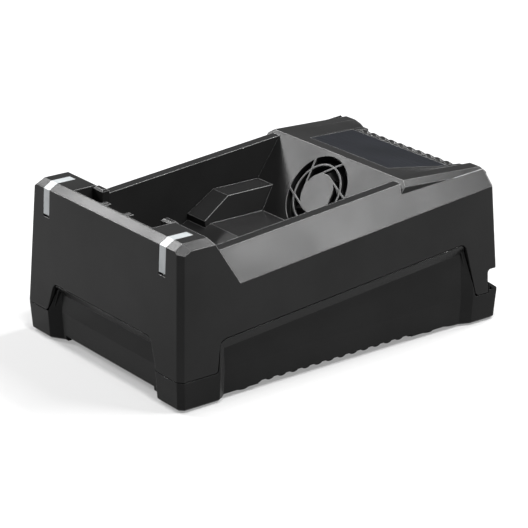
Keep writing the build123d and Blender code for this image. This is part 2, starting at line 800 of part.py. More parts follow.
with BuildPart() as upper_shell:
    add(FORM)
    add(WELL, mode=Mode.SUBTRACT)
    add(HOLLOW, mode=Mode.SUBTRACT)
    add(posts.part)
    add(split_zone(0), mode=Mode.SUBTRACT)
    with Locations(*[spot(post_x, post_y, POST_Z) for post_x, post_y in POSTS]):
        Cylinder(SCREW_R + RUNNING_GAP, SCREW_LONG, align=UPRIGHT, mode=Mode.SUBTRACT)
    add(rail_arms())
    with Locations(*[spot(way * TAB_X, FRONT_WALL_Y - 1, TAB_LOW) for way in SIDES.values()]):
        Box(TAB_WIDE, TAB_DEEP + 1, TAB_TOP - TAB_LOW, align=(Align.CENTER, Align.MIN, Align.MIN))
    with Locations(*[spot(way * TAB_X, FRONT_WALL_Y, TAB_TOP) for way in SIDES.values()]):
        Box(TAB_SLOT, TAB_DEEP * 2, TAB_DEEP, align=(Align.CENTER, Align.MIN, Align.CENTER),
            mode=Mode.SUBTRACT)
    add(contact_slot(CLEAR), mode=Mode.SUBTRACT)
    # fan panel: grille, then the clear bore behind it and the fan's screw holes
    with BuildSketch(PANEL_FACE):
        add(grille_openings())
    extrude(amount=-GRILLE_THICK, mode=Mode.SUBTRACT)
    with BuildSketch(PANEL_FACE.offset(-GRILLE_THICK)):
        Circle(GRILLE_R)
    extrude(amount=GRILLE_THICK - PANEL - CLEAR, mode=Mode.SUBTRACT)
    with BuildSketch(FAN_FACE):
        with Locations(*FAN_HOLES):
            Circle(FAN_SCREW_R + RUNNING_GAP)
    extrude(amount=PANEL - 1, mode=Mode.SUBTRACT)
    # light pipes: pocket, window and the two pins that carry the lamp board
    for way in SIDES.values():
        add(Pos(way * PIPE_X, 0, 0) * pipe_solid(PIPE_THICK + PIPE_GAP, PIPE_GAP, PIPE_FOOT_GAP),
            mode=Mode.SUBTRACT)
        with Locations(spot(way * PIPE_X, lean(LED_Z), LED_Z)):
            Box(STEM_WIDE + CLEAR, 3 * WALL, STEM_HIGH + CLEAR, mode=Mode.SUBTRACT)
        for hand in (-1, 1):
            pin_x = way * PIPE_X + hand * LED_PIN_X
            add(pin_in_wall(pin_x, LED_Z, LED_PIN_R + 0.8, WALL_BACK - 1, LED_BOARD_Y))
            add(pin_in_wall(pin_x, LED_Z, LED_PIN_R, WALL_BACK - 1, LED_BOARD_Y + LED_BOARD + 1))
    # sunk top: backing of the rib row, pocket of the plate, ribs, air slots of the back wall
    add(FORM & rib_edge(HUMP_HALF + WALL, HUMP_RISE + HUMP_CUT + WALL))
    add(plate(PLATE_GAP), mode=Mode.SUBTRACT)
    add(along_trough(lambda y: HUMP_HALF, PLATE_BACK_Y + HUMP_GAP, LENGTH + 2, HUMP_R, -HUMP_CUT),
        mode=Mode.SUBTRACT)
    add(rib_edge(HUMP_HALF, HUMP_RISE + HUMP_CUT), mode=Mode.SUBTRACT)
    add(hump_ribs())
    with Locations(*[spot(vent_x, LENGTH, BACK_VENT_LOW) for vent_x in VENT_XS]):
        Box(BACK_VENT_WIDE, 6 * WALL, BACK_VENT_HIGH, align=UPRIGHT, mode=Mode.SUBTRACT)

finish(upper_shell, "upper_shell")

# ---------------------------------------------------------------- lower shell
STEP_UP = WAIST_Z + 45      # above the highest point of the joint line


def lower_form(outline, inset):
    """Solid form of the lower shell's walls on an outline, moved in by inset."""
    with BuildPart() as form:
        add(drawn_up(lambda z: outline(z, inset), 0, WAIST_Z))
        add(drawn_up(lambda z: outline(z, inset), WAIST_Z, STEP_UP))
        add(groove(inset), mode=Mode.SUBTRACT)
    return form.part


def joint_border():
    """Space next to the raised joint line: full height above the line, sloping up inwards below it."""
    far_in = 2 * FRONT_RECESS
    side = Plane(origin=spot(WIDTH / 2 + DRAFT * WAIST_Z, 0, 0), x_dir=(0, 1, 0), z_dir=(1, 0, DRAFT))
    front = Plane(origin=spot(0, -DRAFT * WAIST_Z, 0), x_dir=(1, 0, 0), z_dir=(0, -1, DRAFT))

    def above(ends, line, depth, recess):
        fall = JOINT_GAP + BORDER + depth * BORDER_HIGH / recess
        low = [(along, line(along) - fall) for along in ends]
        return low + [(ends[1], STEP_UP + far_in), (ends[0], STEP_UP + far_in)]

    def side_line(y):
        return STEP_Z + STEP_RISE * (y - STEP_FRONT_Y - STEP_RAMP)

    depths = (-1, far_in)
    side_band = drawn([above((0, LENGTH), side_line, depth, SIDE_RECESS) for depth in depths],
                      [side.offset(-depth) for depth in depths])
    across = (-WIDTH, WIDTH)
    front_band = drawn([above(across, lambda x: FRONT_STEP_Z, depth, FRONT_RECESS) for depth in depths],
                       [front.offset(-depth) for depth in depths])
    with BuildPart() as border:
        add(side_band)
        add(side_band.mirror(Plane.YZ))
        add(front_band)
    return border.part


def belly():
    """Space under the shell between the corner feet."""
    profile = [
        (FOOT_FRONT_Y, -1),
        (FOOT_FRONT_Y, 0),
        (FOOT_FRONT_Y + FOOT_RAMP_FRONT, BELLY_Z),
        (FOOT_BACK_Y - FOOT_RAMP_BACK, BELLY_Z),
        (FOOT_BACK_Y, 0),
        (FOOT_BACK_Y, -1),
    ]
    with BuildPart() as space:
        add(prism(profile, SIDE, -WIDTH, WIDTH))
        add(block((-FOOT_INNER, FOOT_INNER), (-1, LENGTH + 1), (-1, BELLY_Z)))
        cut = FRONT_RECESS + lean(BELLY_Z) + BELLY_Z + BELLY_EDGE
        add(prism([(cut + 1, -1), (-1, cut + 1), (-1, -1)], SIDE, -FOOT_INNER, FOOT_INNER))
    return space.part


def lip():
    """Tongue that stands up behind the upper shell's wall, with the step that carries it."""
    inner = LIP_GAP + WALL + LIP_THICK
    with BuildPart() as tongue:
        add(lower_form(plan, WALL + LIP_GAP) & split_zone(LIP))
        add(lower_form(plan, WALL - LIP_GAP) & split_zone(-JOINT_GAP - 1))
        add(lower_form(plan, inner), mode=Mode.SUBTRACT)
        add(split_zone(-LIP), mode=Mode.SUBTRACT)
    return tongue.part


def air_notches():
    """Gaps between the rounded lobes along one bottom side edge, and the lobes' set-back face."""
    middle = VENT_FIRST_Y + (VENTS - 1) / 2 * VENT_PITCH
    edge_x = WIDTH / 2 - lean(BELLY_Z) - SIDE_RECESS
    lobe_ys = [VENT_FIRST_Y + (number - 0.5) * VENT_PITCH for number in range(VENTS + 1)]
    with BuildPart() as notches:
        with BuildSketch(SIDE.offset(VENT_INNER + VENT_LONG - 1)):
            with Locations((middle, BELLY_Z)):
                Rectangle(VENTS * VENT_PITCH, 2 * NOTCH_DEEP)
            with Locations(*[(lobe_y, BELLY_Z + LOBE_R) for lobe_y in lobe_ys]):
                Circle(LOBE_R, mode=Mode.SUBTRACT)
        extrude(amount=WIDTH / 2 - VENT_INNER - VENT_LONG + 1)
        with Locations(spot(edge_x - LOBE_BACK, middle, BELLY_Z)):
            Box(2 * SIDE_RECESS, VENTS * VENT_PITCH, 2 * NOTCH_DEEP,
                align=(Align.MIN, Align.CENTER, Align.CENTER))
    return notches.part


def nick():
    """Small triangular nick in the right side, under the slope of the groove."""
    start_y = LENGTH - GROOVE_DEEP + 2 * JOINT_GAP
    low = WAIST_Z + 2 * JOINT_GAP
    return prism([(start_y, low), (start_y + NICK_LONG, low), (start_y, low + NICK_HIGH)],
                 SIDE, WIDTH / 2 - NICK_DEEP, WIDTH)


PILLARS = [(x, y) for x in (-PILLAR_X, PILLAR_X) for y in PILLAR_YS]
RIGHT_CUTS = air_notches() + nick()
PLATE_TOP_Z = BELLY_Z + WALL

with BuildPart() as lower_shell:
    add(lower_form(recessed_plan, 0))
    chamfer(lower_shell.edges().group_by(Axis.Z)[0], FOOT_EDGE)
    add(lower_form(plan, 0) & joint_border())
    add(split_zone(-JOINT_GAP), mode=Mode.INTERSECT)
    add(belly(), mode=Mode.SUBTRACT)
    add(lower_form(recessed_plan, WALL) & block((-WIDTH, WIDTH), (0, LENGTH), (PLATE_TOP_Z, FAR)),
        mode=Mode.SUBTRACT)
    add(lip())
    with Locations(*[spot(post_x, post_y, PLATE_TOP_Z) for post_x, post_y in POSTS]):
        Cylinder(TUBE_R, POST_Z - 0.3 - PLATE_TOP_Z, align=UPRIGHT)
    with Locations(*[spot(post_x, post_y, -1) for post_x, post_y in POSTS]):
        Cylinder(SCREW_HEAD_R + CLEAR, SCREW_SEAT_Z + 1, align=UPRIGHT, mode=Mode.SUBTRACT)
        Cylinder(SCREW_R + CLEAR, POST_Z + 1, align=UPRIGHT, mode=Mode.SUBTRACT)
    with Locations(*[spot(pillar_x, pillar_y, PLATE_TOP_Z) for pillar_x, pillar_y in PILLARS]):
        Cylinder(PILLAR_R, BOARD_Z - PLATE_TOP_Z, align=UPRIGHT)
    with Locations(*[spot(pillar_x, pillar_y, BOARD_Z) for pillar_x, pillar_y in PILLARS]):
        Cylinder(SMALL_R + RUNNING_GAP, SMALL_LONG, align=(Align.CENTER, Align.CENTER, Align.MAX),
                 mode=Mode.SUBTRACT)
    with Locations(*[spot(way * FOOT_X, foot_y, BELLY_Z) for foot_y in FOOT_YS for way in SIDES.values()]):
        Cylinder(FOOT_PEG_R + RUNNING_GAP, 3 * WALL, mode=Mode.SUBTRACT)
    # air slots through the floor, and the lobes that they leave along the bottom edge
    with Locations(*[spot(way * (VENT_INNER + VENT_LONG / 2), VENT_FIRST_Y + number * VENT_PITCH, BELLY_Z)
                     for number in range(VENTS) for way in SIDES.values()]):
        Box(VENT_LONG, VENT_WIDE, 3 * WALL, mode=Mode.SUBTRACT)
    # nicks under the groove's slope and the notched edge, the same on both sides
    add(RIGHT_CUTS, mode=Mode.SUBTRACT)
    add(RIGHT_CUTS.mirror(Plane.YZ), mode=Mode.SUBTRACT)
    add(pin_in_wall(GLAND_X, GLAND_Z, GLAND_NECK_R + RUNNING_GAP, LENGTH - 3 * WALL, LENGTH + 1),
        mode=Mode.SUBTRACT)

finish(lower_shell, "lower_shell")

# ---------------------------------------------------------------- outside trim
with BuildPart() as label_plate:
    add(plate(0))
finish(label_plate, "label_plate")

for name, way in SIDES.items():
    with BuildPart() as light_pipe:
        add(Pos(way * PIPE_X, 0, 0) * pipe_solid(PIPE_THICK, 0, 0))
        stem_start = lean(LED_Z) + PIPE_THICK / 2
        with Locations(spot(way * PIPE_X, stem_start, LED_Z)):
            Box(STEM_WIDE, STEM_END - stem_start, STEM_HIGH, align=(Align.CENTER, Align.MIN, Align.CENTER))
    finish(light_pipe, "light_pipe_" + name)

FEET = {"front": FOOT_YS[0], "rear": FOOT_YS[1]}
for end, foot_y in FEET.items():
    for name, way in SIDES.items():
        with BuildPart() as rubber_foot:
            with Locations(spot(way * FOOT_X, foot_y, -FOOT_STAND)):
                Cylinder(FOOT_R, BELLY_Z + FOOT_STAND, align=UPRIGHT)
            fillet(rubber_foot.edges().group_by(Axis.Z)[0], 0.8)
            with Locations(spot(way * FOOT_X, foot_y, BELLY_Z)):
                Cylinder(FOOT_PEG_R, WALL + 2, align=UPRIGHT)
        finish(rubber_foot, "rubber_foot_" + end + "_" + name)

with BuildPart() as cord_gland:
    gland_end = LENGTH - lean(GLAND_Z - GLAND_NECK_R) - 0.3
    gland_wall = LENGTH - lean(GLAND_Z) - WALL
    add(pin_in_wall(GLAND_X, GLAND_Z, GLAND_NECK_R, gland_wall - GLAND_FLANGE - GLAND_SEAT, gland_end))
    add(pin_in_wall(GLAND_X, GLAND_Z, GLAND_FLANGE_R,
                    gland_wall - GLAND_FLANGE - GLAND_SEAT, gland_wall - GLAND_SEAT))
    add(pin_in_wall(GLAND_X, GLAND_Z, GLAND_BORE_R, gland_wall - 10, LENGTH + 1), mode=Mode.SUBTRACT)
finish(cord_gland, "cord_gland")


# ---------------------------------------------------------------- screws
def screw(plane, radius, length, head_r, head_h):
    """Round-headed screw: its head stands on the plane and its shank goes through it."""
    with BuildPart() as piece:
        with BuildSketch(plane):
            Circle(head_r)
        extrude(amount=head_h)
        fillet(piece.edges().sort_by(Axis(plane.origin, plane.z_dir))[-1], 0.6)
        with BuildSketch(plane):
            Circle(radius)
        extrude(amount=-length)
        with BuildSketch(plane.offset(head_h)):
            RegularPolygon(head_r * 0.45, 6)
        extrude(amount=-head_h * 0.5, mode=Mode.SUBTRACT)
    return piece.part


with BuildPart() as housing_screws:
    for post_y in POST_YS:
        for way in SIDES.values():
            seat = Plane(origin=spot(way * POST_X, post_y, SCREW_SEAT_Z), z_dir=(0, 0, -1))
            add(screw(seat, SCREW_R, SCREW_LONG + POST_Z - SCREW_SEAT_Z - 4, SCREW_HEAD_R, SCREW_HEAD))
finish(housing_screws, "housing_screws")

with BuildPart() as board_screws:
    for pillar_x, pillar_y in PILLARS:
        seat = Plane(origin=spot(pillar_x, pillar_y, BOARD_TOP))
        add(screw(seat, SMALL_R, SMALL_LONG + BOARD_THICK - 0.4, SMALL_HEAD_R, SMALL_HEAD))
finish(board_screws, "board_screws")

# ---------------------------------------------------------------- fan
FAN_BACK = FAN_FACE.offset(-FAN_DEEP)

with BuildPart() as fan_screws:
    for hole_x, hole_y in FAN_HOLES:
        seat = Plane(origin=FAN_BACK.from_local_coords((hole_x, hole_y, 0)), z_dir=-FAN_BACK.z_dir)
        add(screw(seat, FAN_SCREW_R, FAN_DEEP + PANEL - 1.4, SMALL_HEAD_R, SMALL_HEAD))
finish(fan_screws, "fan_screws")

with BuildPart() as fan_frame:
    with BuildSketch(FAN_FACE):
        RectangleRounded(FAN_SIZE, FAN_SIZE, 3)
        Circle(FAN_BORE_R, mode=Mode.SUBTRACT)
        with Locations(*FAN_HOLES):
            Circle(FAN_SCREW_R + CLEAR, mode=Mode.SUBTRACT)
    extrude(amount=-FAN_DEEP)
    with BuildSketch(FAN_BACK):
        Circle(FAN_HUB_R)
        with PolarLocations((FAN_HUB_R + FAN_BORE_R) / 2, 4, 45):
            Rectangle(FAN_BORE_R - FAN_HUB_R + 2, STRUT)
    extrude(amount=FAN_BASE)
    with BuildSketch(FAN_BACK):
        Circle(FAN_TUBE_R)
    extrude(amount=FAN_DEEP - TUBE_START)
    with BuildSketch(FAN_BACK.offset(FAN_BASE)):
        Circle(BEARING_R)
    extrude(amount=FAN_DEEP, mode=Mode.SUBTRACT)
finish(fan_frame, "fan_frame")

with BuildPart() as fan_bearing:
    with BuildSketch(FAN_BACK.offset(FAN_BASE)):
        Circle(BEARING_R - 0.02)
        Circle(SHAFT_R + RUNNING_GAP, mode=Mode.SUBTRACT)
    extrude(amount=FAN_DEEP - FAN_BASE - TUBE_START - 0.6)
finish(fan_bearing, "fan_bearing")

with BuildPart() as fan_stator:
    with BuildSketch(FAN_FACE.offset(-TUBE_START - 0.5)):
        Circle(STATOR_R * 0.55)
        with PolarLocations(STATOR_R * 0.62, 4):
            Rectangle(STATOR_R * 0.6, STATOR_R * 0.55)
        Circle(STATOR_R)
        Circle(STATOR_R * 0.8, mode=Mode.SUBTRACT)
        with PolarLocations(STATOR_R * 0.7, 4):
            Rectangle(STATOR_R * 0.5, STATOR_R * 0.55)
        Circle(FAN_TUBE_R + 0.02, mode=Mode.SUBTRACT)
    extrude(amount=-STATOR_LONG)
finish(fan_stator, "fan_stator")

ROTOR_FACE = FAN_FACE.offset(-ROTOR_IN)

with BuildPart() as fan_blades:
    for number in range(FAN_BLADES):
        reach = FAN_BORE_R - FAN_HUB_R + 2
        blade = (ROTOR_FACE.location * Location((0, 0, -ROTOR_LONG / 2), (0, 0, number * 360 / FAN_BLADES))
                 * Location((FAN_HUB_R - 0.6 + reach / 2, 0, 0), (FAN_PITCH, 0, 0)))
        with Locations(blade):
            Box(reach, BLADE_CHORD, BLADE_THICK)
    with BuildSketch(ROTOR_FACE):
        Circle(FAN_BORE_R - FAN_TIP_GAP)
    extrude(amount=-ROTOR_LONG, mode=Mode.INTERSECT)

with BuildPart() as fan_rotor:
    with BuildSketch(ROTOR_FACE):
        Circle(FAN_HUB_R)
    extrude(amount=-ROTOR_LONG)
    chamfer(fan_rotor.edges().sort_by(Axis(ROTOR_FACE.origin, ROTOR_FACE.z_dir))[-1], 1)
    with BuildSketch(ROTOR_FACE.offset(-CUP_WALL)):
        Circle(FAN_HUB_R - CUP_WALL)
    extrude(amount=-ROTOR_LONG, mode=Mode.SUBTRACT)
    with BuildSketch(ROTOR_FACE):
        Circle(SHAFT_R * 2.4)
    extrude(amount=CUP_WALL / -2 - SHAFT_GRIP)
    with BuildSketch(ROTOR_FACE.offset(-CUP_WALL / 2)):
        Circle(SHAFT_R + 0.02)
    extrude(amount=-ROTOR_LONG, mode=Mode.SUBTRACT)
    add(fan_blades.part)
finish(fan_rotor, "fan_rotor")

with BuildPart() as fan_shaft:
    with BuildSketch(ROTOR_FACE.offset(-CUP_WALL / 2 - 0.02)):
        Circle(SHAFT_R)
    extrude(amount=-(FAN_DEEP - FAN_BASE - ROTOR_IN - CUP_WALL / 2 - 0.4))
finish(fan_shaft, "fan_shaft")

with BuildPart() as fan_magnet:
    with BuildSketch(ROTOR_FACE.offset(-CUP_WALL - 0.02)):
        Circle(FAN_HUB_R - CUP_WALL - 0.02)
        Circle(STATOR_R + 0.5, mode=Mode.SUBTRACT)
    extrude(amount=-(ROTOR_LONG - CUP_WALL - 1))
finish(fan_magnet, "fan_magnet")

# ---------------------------------------------------------------- charging contacts
with BuildPart() as contact_block:
    add(contact_slot(0))
    flange_z = POCKET_Z + CONTACT_FLANGE / 2
    with Locations(spot(0, CONTACT_Y + CONTACT_DEEP / 2, flange_z)):
        Box(2 * CONTACT_HALF + 4, CONTACT_DEEP + 1.6, CONTACT_FLANGE)
    with Locations(spot(0, CONTACT_Y + CONTACT_DEEP / 2, POCKET_Z)):
        Box(2 * CONTACT_HALF - 4, CONTACT_DEEP - 2, CONTACT_HIGH, align=UPRIGHT)
    chamfer(contact_block.edges().group_by(Axis.Z)[-1], 0.8)
    for blade_x in BLADE_XS:
        with Locations(spot(blade_x, CONTACT_Y + CONTACT_DEEP / 2, POCKET_Z)):
            Box(BLADE_METAL + 0.04, BLADE_DEEP + 0.04, FAR, mode=Mode.SUBTRACT)
finish(contact_block, "contact_block")

with BuildPart() as contact_blades:
    for blade_x in BLADE_XS:
        with Locations(spot(blade_x, CONTACT_Y + CONTACT_DEEP / 2, POCKET_Z - CONTACT_DROP - BLADE_TAIL)):
            Box(BLADE_METAL, BLADE_DEEP, BLADE_LONG, align=UPRIGHT)
    chamfer(contact_blades.edges().group_by(Axis.Z)[-1].filter_by(Axis.Y), 0.25)
finish(contact_blades, "contact_blades")

# ---------------------------------------------------------------- charge lamps
for name, way in SIDES.items():
    with BuildPart() as lamp_board:
        with Locations(spot(way * PIPE_X, LED_BOARD_Y, LED_Z)):
            Box(LED_BOARD_WIDE, LED_BOARD, LED_BOARD_HIGH, align=(Align.CENTER, Align.MIN, Align.CENTER))
        for hand in (-1, 1):
            add(pin_in_wall(way * PIPE_X + hand * LED_PIN_X, LED_Z, LED_PIN_R + RUNNING_GAP,
                            LED_BOARD_Y - 1, LED_BOARD_Y + 3), mode=Mode.SUBTRACT)
    finish(lamp_board, "lamp_board_" + name)

with BuildPart() as lamps:
    for way in SIDES.values():
        with Locations(spot(way * PIPE_X, LED_BOARD_Y - LED_DEEP, LED_Z)):
            Box(STEM_WIDE, LED_DEEP, STEM_HIGH, align=(Align.CENTER, Align.MIN, Align.CENTER))
finish(lamps, "lamps")

# ---------------------------------------------------------------- main board and what stands on it
with BuildPart() as main_board:
    with BuildSketch(BASE.offset(BOARD_Z)):
        with Locations((0, (BOARD_FRONT_Y + BOARD_BACK_Y) / 2)):
            RectangleRounded(2 * BOARD_HALF, BOARD_BACK_Y - BOARD_FRONT_Y, 2)
        with Locations(*PILLARS):
            Circle(SMALL_R + CLEAR, mode=Mode.SUBTRACT)
    extrude(amount=BOARD_THICK)
finish(main_board, "main_board")


def standing(x, y, size, radius=0.6):
    """Moulded part standing on the board, its upright edges rounded."""
    with BuildPart() as piece:
        with BuildSketch(BASE.offset(BOARD_TOP)):
            with Locations((x, y)):
                RectangleRounded(size[0], size[1], radius)
        extrude(amount=size[2])
        fillet(piece.edges().group_by(Axis.Z)[-1], radius * 0.7)
    return piece.part


def can(x, y, radius, height):
    """Capacitor can with the groove near its foot and the score on its lid."""
    with BuildPart() as piece:
        with BuildSketch(BASE.offset(BOARD_TOP)):
            with Locations((x, y)):
                Circle(radius)
        extrude(amount=height)
        fillet(piece.edges().group_by(Axis.Z)[-1], radius * 0.12)
        with Locations(spot(x, y, BOARD_TOP + height)):
            Box(radius, 0.6, 0.6, mode=Mode.SUBTRACT)
            Box(0.6, radius, 0.6, mode=Mode.SUBTRACT)
        with BuildSketch(BASE.offset(BOARD_TOP + 2.2)):
            with Locations((x, y)):
                Circle(radius + 1)
                Circle(radius - 0.5, mode=Mode.SUBTRACT)
        extrude(amount=1, mode=Mode.SUBTRACT)
    return piece.part


def heat_sink(x, y, long, high):
    """Upright aluminium comb: a plate along y with fins on its outer side."""
    with BuildPart() as piece:
        with Locations(spot(x, y, BOARD_TOP)):
            Box(SINK_PLATE, long, high, align=UPRIGHT)
        fins = int(long // SINK_PITCH)
        for number in range(fins):
            fin_y = y + (number - (fins - 1) / 2) * SINK_PITCH
            with Locations(spot(x - SINK_PLATE / 2 - SINK_FIN / 2 + 0.1, fin_y, BOARD_TOP)):
                Box(SINK_FIN, SINK_PLATE / 2, high, align=UPRIGHT)
    return piece.part


def power_case(x, y, way):
    """Flat power case on a heat sink's plain face, with three legs into the board."""
    with BuildPart() as piece:
        with Locations(spot(x + way * CASE_DEEP / 2, y, BOARD_TOP + CASE_LEG)):
            Box(CASE_DEEP, CASE_WIDE, CASE_HIGH, align=UPRIGHT)
        for leg in (-2.5, 0, 2.5):
            with Locations(spot(x + way * CASE_DEEP / 2, y + leg, BOARD_TOP)):
                Box(0.6, 0.8, CASE_LEG + 1, align=UPRIGHT)
    return piece.part


with BuildPart() as primary_heat_sink:
    add(heat_sink(SINK_A[0], SINK_A[1], SINK_A_LONG, SINK_HIGH))
finish(primary_heat_sink, "primary_heat_sink")

with BuildPart() as output_heat_sink:
    add(heat_sink(SINK_B[0], SINK_B[1], SINK_B_LONG, SINK_HIGH))
finish(output_heat_sink, "output_heat_sink")

with BuildPart() as power_transistors:
    for offset_y in (-CASE_PITCH / 2, CASE_PITCH / 2):
        add(power_case(SINK_A[0] + SINK_PLATE / 2, SINK_A[1] + offset_y, 1))
finish(power_transistors, "power_transistors")

with BuildPart() as output_rectifiers:
    for offset_y in (-CASE_PITCH / 2, CASE_PITCH / 2):
        add(power_case(SINK_B[0] + SINK_PLATE / 2, SINK_B[1] + offset_y, 1))
finish(output_rectifiers, "output_rectifiers")

with BuildPart() as bulk_capacitors:
    for can_y in BULK_YS:
        add(can(BULK_X, can_y, BULK_R, BULK_HIGH))
finish(bulk_capacitors, "bulk_capacitors")

with BuildPart() as output_capacitors:
    for can_x in OUTPUT_XS:
        add(can(can_x, OUTPUT_Y, OUTPUT_R, OUTPUT_HIGH))
finish(output_capacitors, "output_capacitors")

# transformer: a frame core with a middle leg, the bobbin on the leg and the winding round it
CORE_X, CORE_Y = TRANSFORMER
CORE_LOW = BOARD_TOP + BOBBIN_FOOT

with BuildPart() as transformer_core:
    with Locations(spot(CORE_X, CORE_Y, CORE_LOW)):
        Box(CORE_WIDE, CORE_LEG, CORE_HIGH, align=UPRIGHT)
    window = (CORE_WIDE - CORE_LEG) / 2 - CORE_SIDE
    for way in SIDES.values():
        with Locations(spot(CORE_X + way * (CORE_LEG + window) / 2, CORE_Y, CORE_LOW + CORE_HIGH / 2)):
            Box(window, 2 * CORE_LEG, CORE_HIGH - 2 * CORE_SIDE, mode=Mode.SUBTRACT)
finish(transformer_core, "transformer_core")


def sleeve(inner, outer, height):
    """Square tube round the transformer's middle leg."""
    with BuildPart() as piece:
        with BuildSketch(BASE.offset(CORE_LOW + CORE_HIGH / 2 - height / 2)):
            with Locations((CORE_X, CORE_Y)):
                RectangleRounded(outer, outer, 1)
                Rectangle(inner, inner, mode=Mode.SUBTRACT)
        extrude(amount=height)
    return piece.part


WINDOW_HIGH = CORE_HIGH - 2 * CORE_SIDE

with BuildPart() as transformer_bobbin:
    add(sleeve(CORE_LEG + CLEAR, CORE_LEG + 2, WINDOW_HIGH - CLEAR))
finish(transformer_bobbin, "transformer_bobbin")

with BuildPart() as transformer_winding:
    add(sleeve(CORE_LEG + 2 + CLEAR, CORE_LEG + 2 * window - 1, WINDOW_HIGH - 1))
finish(transformer_winding, "transformer_winding")

with BuildPart() as transformer_base:
    with Locations(spot(CORE_X, CORE_Y, BOARD_TOP)):
        Box(CORE_WIDE - 6, CORE_LEG + 14, BOBBIN_FOOT, align=UPRIGHT)
finish(transformer_base, "transformer_base")

# ring choke standing on its edge
CHOKE_Z = BOARD_TOP + CHOKE_R + CHOKE_WIRE
CHOKE_PLANE = Plane(origin=spot(CHOKE[0], CHOKE[1], CHOKE_Z), x_dir=(1, 0, 0), z_dir=(0, -1, 0))

with BuildPart() as choke_core:
    with BuildSketch(CHOKE_PLANE):
        Circle(CHOKE_R)
        Circle(CHOKE_HOLE_R, mode=Mode.SUBTRACT)
    extrude(amount=CHOKE_DEEP / 2, both=True)
finish(choke_core, "choke_core")

with BuildPart() as choke_winding:
    for number in range(CHOKE_TURNS):
        turn = number * 360 / CHOKE_TURNS
        ring = CHOKE_PLANE.location * Location((0, 0, 0), (0, 0, turn)) * Location(
            ((CHOKE_R + CHOKE_HOLE_R) / 2, 0, 0), (90, 0, 0))
        with BuildSketch(Plane(ring).offset(-CHOKE_WIRE / 2)):
            Rectangle(CHOKE_R - CHOKE_HOLE_R + 2 * CHOKE_WIRE, CHOKE_DEEP + 2 * CHOKE_WIRE)
            Rectangle(CHOKE_R - CHOKE_HOLE_R + CLEAR, CHOKE_DEEP + CLEAR, mode=Mode.SUBTRACT)
        extrude(amount=CHOKE_WIRE)
finish(choke_winding, "choke_winding")

for name, place, size in (
    ("bridge_rectifier", BRIDGE, (4, 20, 17)),
    ("x_capacitor", X_CAPACITOR, (26, 10, 17)),
    ("relay", RELAY, (20, 15, 16)),
    ("mains_terminal", MAINS_TERMINAL, (16, 10, 12)),
    ("contact_terminal", CONTACT_TERMINAL, (26, 8, TERMINAL_HIGH)),
    ("fan_terminal", FAN_TERMINAL, (8, 6, TERMINAL_HIGH)),
    ("lamp_terminal", LAMP_TERMINAL, (8, 6, TERMINAL_HIGH)),
    ("charge_controller", CONTROLLER, (10, 10, 1.6)),
):
    with BuildPart() as part_on_board:
        add(standing(place[0], place[1], size))
    finish(part_on_board, name)

with BuildPart() as varistor:
    with BuildSketch(FRONT.offset(-VARISTOR[1] - 2)):
        with Locations((VARISTOR[0], BOARD_TOP + VARISTOR_R + 3)):
            Circle(VARISTOR_R)
    extrude(amount=4)
    fillet(varistor.edges(), 0.8)
    for leg in (-3, 3):
        with Locations(spot(VARISTOR[0] + leg, VARISTOR[1], BOARD_TOP)):
            Cylinder(0.4, VARISTOR_R, align=UPRIGHT)
finish(varistor, "varistor")

FUSE_Z = BOARD_TOP + FUSE_R + 1.6
with BuildPart() as fuse_clips:
    for hand in (-1, 1):
        with Locations(spot(FUSE[0], FUSE[1] + hand * FUSE_LONG * 0.4, BOARD_TOP)):
            Box(2 * FUSE_R + 1.6, 3, FUSE_R + 3.6, align=UPRIGHT)
    with BuildSketch(FRONT.offset(-FUSE[1] - FUSE_LONG)):
        with Locations((FUSE[0], FUSE_Z)):
            Circle(FUSE_R + 0.02)
        with Locations((FUSE[0], FUSE_Z + FUSE_R * 2)):
            Rectangle(FUSE_R * 1.6, FUSE_R * 4)
    extrude(amount=2 * FUSE_LONG, mode=Mode.SUBTRACT)
finish(fuse_clips, "fuse_clips")

with BuildPart() as mains_fuse:
    with BuildSketch(FRONT.offset(-FUSE[1] - FUSE_LONG / 2)):
        with Locations((FUSE[0], FUSE_Z)):
            Circle(FUSE_R)
    extrude(amount=FUSE_LONG)
finish(mains_fuse, "mains_fuse")


# ---------------------------------------------------------------- leads
def lead(points, radius, bend):
    """Round wire along straight runs joined by equal bends."""
    with BuildPart() as wire:
        with BuildLine() as path:
            FilletPolyline(*[spot(*point) for point in points], radius=bend)
        with BuildSketch(Plane(origin=path.wire() @ 0, z_dir=path.wire() % 0)):
            Circle(radius)
        sweep()
    return wire.part


BLADE_FOOT_Z = POCKET_Z - CONTACT_DROP - BLADE_TAIL
TERMINAL_TOP = BOARD_TOP + TERMINAL_HIGH

for name, numbers in {"power_leads": (0, 4), "signal_leads": (1, 2, 3)}.items():
    with BuildPart() as leads:
        for number in numbers:
            wire_r = POWER_R if name == "power_leads" else SIGNAL_R
            blade_x = BLADE_XS[number]
            plug_x = CONTACT_TERMINAL[0] + (number - 2) * 5
            add(lead([
                (blade_x, CONTACT_Y + CONTACT_DEEP / 2, BLADE_FOOT_Z),
                (blade_x, CONTACT_Y + CONTACT_DEEP / 2, BLADE_FOOT_Z - 9),
                (plug_x, CONTACT_TERMINAL[1], BLADE_FOOT_Z - 7),
                (plug_x, CONTACT_TERMINAL[1], TERMINAL_TOP),
            ], wire_r, LEAD_BEND))
    finish(leads, name)

